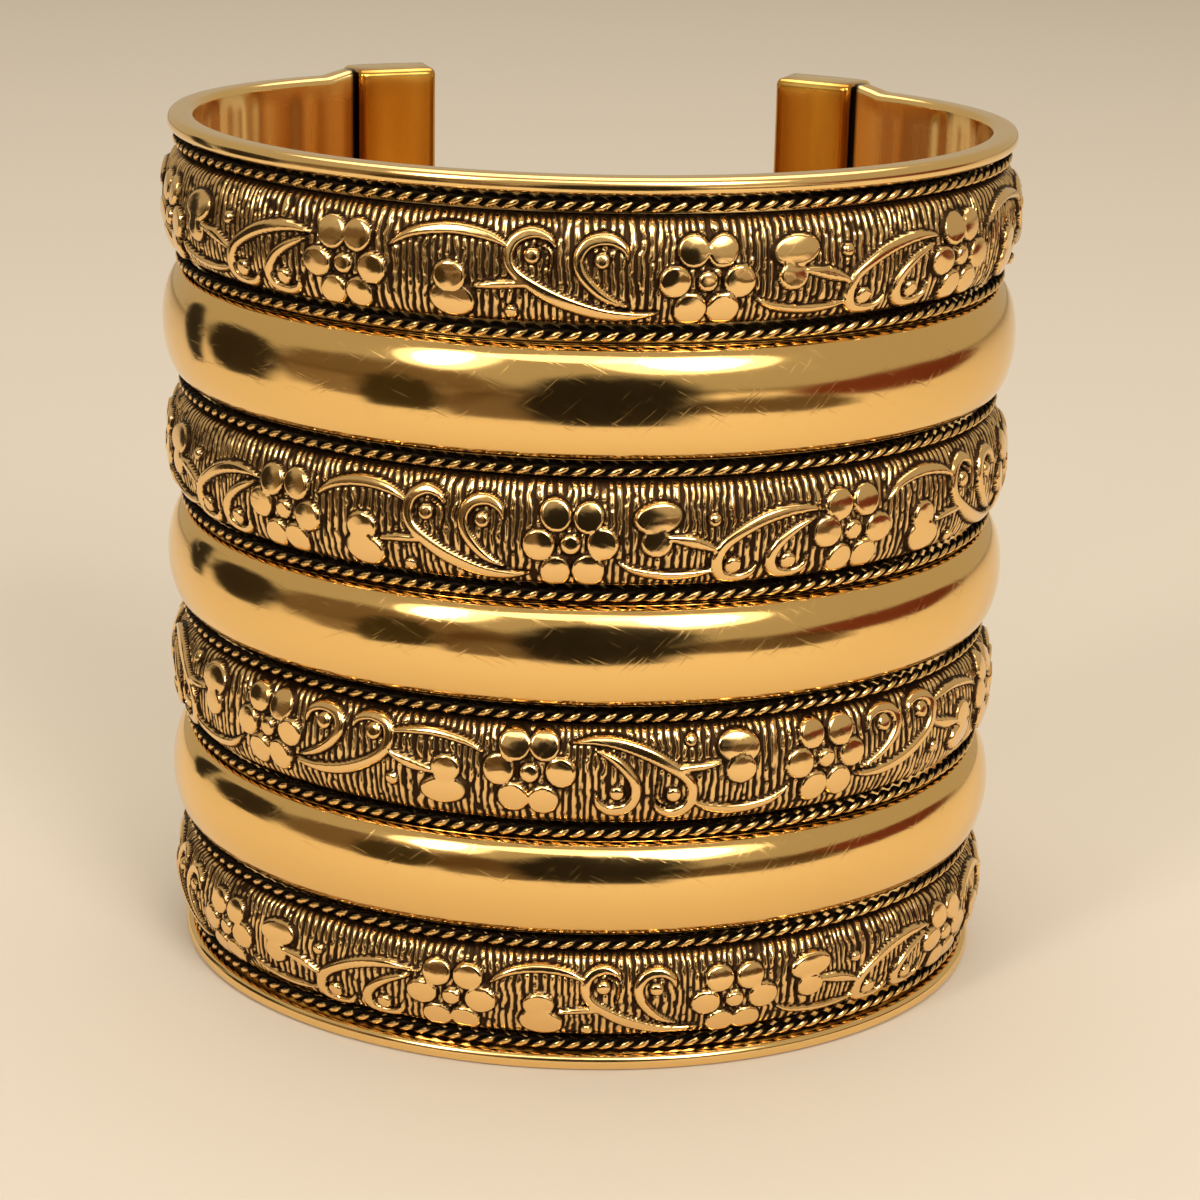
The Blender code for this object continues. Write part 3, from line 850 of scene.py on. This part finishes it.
def streakedMetal(name):
    # smooth metal, streaked upright where the sheet attribute says, and dark where the patina
    # attribute says, which here holds painted shade: the liner's crease and the caps' inner faces
    look = finishes[name]
    warmer = [share * channel for share, channel in zip(streaks["warmShare"], look["colour"])]
    material, tree, shader = newMaterial(name)
    place, sheet = ownPlace(tree), readMask(tree, "sheet")
    fine = addNoise(tree, addMapping(tree, place, Scale=streaks["fine"]), 1.0, 3.0)
    broad = addNoise(tree, addMapping(tree, place, Scale=streaks["broad"]), 1.0, 2.0)
    warm = addMath(tree, "MULTIPLY", addRange(tree, broad, *streaks["warm"]), sheet)
    streaked = addMix(tree, warm, (*look["colour"], 1), (*warmer, 1))
    colour = addMix(tree, readMask(tree, "patinaAndShade"), streaked, (*look["dark"], 1))
    rough = addMath(tree, "MULTIPLY_ADD", fine, *streaks["rough"])
    rough = addMath(tree, "MULTIPLY_ADD", sheet, streaks["sheetRough"], rough)
    lines = addNode(tree, "ShaderNodeBump", Strength=streaks["fineStrength"],
                    Distance=streaks["fineDepth"], Height=fine)
    rolling = addNode(tree, "ShaderNodeBump", Strength=sheet, Distance=streaks["broadDepth"],
                      Height=broad, Normal=lines.outputs["Normal"])
    feed(tree, shader.inputs["Metallic"], 1.0)
    feed(tree, shader.inputs["Base Color"], colour)
    feed(tree, shader.inputs["Roughness"], rough)
    feed(tree, shader.inputs["Normal"], rolling.outputs["Normal"])
    return material


def dress(piece, material, node):
    piece.data.materials.clear()
    piece.data.materials.append(material)
    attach(piece, "root")
    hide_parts(node)


wornPolish = wearGroup()
plainBrass = polishedMetal("polishedBrass")
embossedBrass = patinaAndShadeMetal("embossedBrass")
wireBrass = patinaAndShadeMetal("wireBrass")
satinBrass = streakedMetal("satinBrass")
capBrass = streakedMetal("capBrass")

dress(makeLiner(), satinBrass, "liner")
print("liner done")
for side, name in ((-1, "end_cap_left"), (1, "end_cap_right")):
    dress(makeCap(name, side), capBrass, name)
print("end caps done")
for index in range(3):
    name = f"plain_band_{index + 1}"
    seed = plainStrip["seed"] + index
    dress(makePlainBand(name, seed), plainBrass, name)
print("plain strips done")
for index in range(8):
    name = f"twisted_wire_{index + 1}"
    dress(makeWire(name, index), wireBrass, name)
print("twisted wires done")
for name in embossedBands:
    dress(makeEmbossedBand(name), embossedBrass, name)
print("embossed strips done")


# Floor, lights and camera

studio = {
    "floorSize": 6,
    "floorColour": (0.57, 0.52, 0.45, 1),
    "floorRoughness": 0.85,
    "skyColour": (0.64, 0.56, 0.42, 1),
    "skyStrength": 0.75,
    "lightColour": (1.0, 0.93, 0.84),
}


def makeFloor():
    freshStart()
    bpy.ops.mesh.primitive_plane_add(size=studio["floorSize"])
    floor = bpy.context.object
    floor.name = "floor"
    material, tree, shader = newMaterial("paleFloor")
    feed(tree, shader.inputs["Base Color"], studio["floorColour"])
    feed(tree, shader.inputs["Roughness"], studio["floorRoughness"])
    floor.data.materials.append(material)


# clouds of darkness round the cuff, seen only in the polished metal: middle, width, height,
# colour, strength
darkCards = {
    "front": ((0.014, -0.110, 0.034), 0.096, 0.104, (0.006, 0.005, 0.002), 1.0),
    "frontWash": ((-0.030, -0.122, 0.018), 0.090, 0.070, (0.100, 0.055, 0.015), 0.9),
    "frontLeft": ((-0.092, -0.108, 0.022), 0.062, 0.084, (0.040, 0.030, 0.007), 1.0),
    "leftWash": ((-0.130, -0.125, 0.044), 0.250, 0.120, (0.130, 0.075, 0.020), 0.85),
    "left": ((-0.180, -0.005, 0.038), 0.112, 0.112, (0.014, 0.009, 0.003), 1.0),
    "farLeft": ((-0.167, 0.067, 0.044), 0.046, 0.110, (0.005, 0.004, 0.002), 1.0),
    "right": ((0.255, -0.040, 0.028), 0.400, 0.062, (0.150, 0.026, 0.008), 1.0),
    "rightWash": ((0.110, -0.120, 0.004), 0.170, 0.070, (0.090, 0.050, 0.014), 0.95),
}
cloud = {
    "roughness": 0.9,
    "scale": 5.0,
    "uneven": 0.30,
    "fade": (0.48, 0.66),        # from the dark middle to nothing
}


def cloudyDark(name, colour, strength):
    # dark in the middle and fading out unevenly to the card's edge
    material, tree, shader = newMaterial(name)
    place = ownPlace(tree)
    away = addNode(tree, "ShaderNodeVectorMath", operation="LENGTH", Vector=place)
    clouds = addNoise(tree, place, cloud["scale"], 3.0)
    uneven = addMath(tree, "MULTIPLY_ADD", clouds, cloud["uneven"], away.outputs["Value"])
    alpha = addRange(tree, uneven, *cloud["fade"], start=strength, end=0.0, kind="SMOOTHSTEP")
    feed(tree, shader.inputs["Base Color"], (*colour, 1))
    feed(tree, shader.inputs["Roughness"], cloud["roughness"])
    feed(tree, shader.inputs["Alpha"], alpha)
    return material


def makeDarkCard(name, middle, width, height, colour, strength):
    freshStart()
    facing = math.atan2(middle[1], middle[0]) + math.pi / 2
    bpy.ops.mesh.primitive_plane_add(size=1, location=middle, rotation=(math.pi / 2, 0, facing))
    card = bpy.context.object
    card.name = name + "DarkCard"
    card.scale = (width, height, 1)
    card.data.materials.append(cloudyDark(name + "DarkCard", colour, strength))
    card.visible_camera = card.visible_shadow = card.visible_diffuse = False


# place, size and brightness of each
softboxes = {
    "front": ((0.0, -0.50, 0.54), (0.50, 0.24), 1.6),
    "left": ((-0.33, -0.47, 0.38), (0.13, 0.30), 10.0),
    "leftHalo": ((-0.34, -0.50, 0.40), (0.30, 0.46), 1.3),
    "right": ((0.28, -0.50, 0.43), (0.26, 0.30), 9.5),
    "rightHalo": ((0.28, -0.53, 0.45), (0.54, 0.46), 1.3),
    "top": ((0.0, 0.25, 0.90), (1.20, 0.90), 1.5),
}


def addSoftbox(name, place, size, brightness):
    light = bpy.data.lights.new(name, "AREA")
    light.shape = "ELLIPSE"
    light.size, light.size_y = size
    light.energy = brightness * math.pi * size[0] * size[1]
    light.color = studio["lightColour"]
    lamp = bpy.data.objects.new(name, light)
    bpy.context.scene.collection.objects.link(lamp)
    lamp.location = place
    toCuff = Vector((0, 0, cuff["height"] / 2)) - Vector(place)
    lamp.rotation_euler = toCuff.to_track_quat("-Z", "Y").to_euler()


def makeLights():
    for name, (place, size, brightness) in softboxes.items():
        addSoftbox(name + "Softbox", place, size, brightness)
    world = bpy.data.worlds.new("studio")
    world.use_nodes = True
    sky = world.node_tree.nodes["Background"]
    sky.inputs["Color"].default_value = studio["skyColour"]
    sky.inputs["Strength"].default_value = studio["skyStrength"]
    bpy.context.scene.world = world


# where the photo was taken from, in the cuff's own frame
view = {
    "focalPixels": 2973.7,
    "imagePixels": 1200,
    "distance": 229.1 * mm,      # from the cuff's widest place
    "aside": 0.38 * mm,
    "height": 103.57 * mm,
    "pitch": 0.3184,
    "yaw": -0.0044,
    "roll": 0.022,
    "aroundCuff": math.radians(3.1),
}


def makeCamera():
    lens = bpy.data.cameras.new("camera")
    lens.sensor_width = 36
    lens.lens = view["focalPixels"] / view["imagePixels"] * lens.sensor_width
    lens.clip_start = 0.01
    camera = bpy.data.objects.new("camera", lens)
    bpy.context.scene.collection.objects.link(camera)
    yaw, pitch, roll = view["yaw"], view["pitch"], view["roll"]
    right = Vector((math.cos(yaw), math.sin(yaw), 0))
    level = Vector((-math.sin(yaw), math.cos(yaw), 0))
    forward = level * math.cos(pitch) - Vector((0, 0, math.sin(pitch)))
    up = level * math.sin(pitch) + Vector((0, 0, math.cos(pitch)))
    rolledRight = right * math.cos(roll) + up * math.sin(roll)
    rolledUp = up * math.cos(roll) - right * math.sin(roll)
    place = Matrix((rolledRight, rolledUp, -forward)).transposed().to_4x4()
    place.translation = (view["aside"], -view["distance"], view["height"])
    around = Matrix.Rotation(view["aroundCuff"], 4, "Z")
    camera.matrix_world = Matrix.Translation((0, cuff["widestY"], 0)) @ around @ place
    bpy.context.scene.camera = camera


makeFloor()
for name, (middle, width, height, colour, strength) in darkCards.items():
    makeDarkCard(name, middle, width, height, colour, strength)
makeLights()
makeCamera()
bpy.context.scene.view_settings.view_transform = "Standard"
print("scene done")
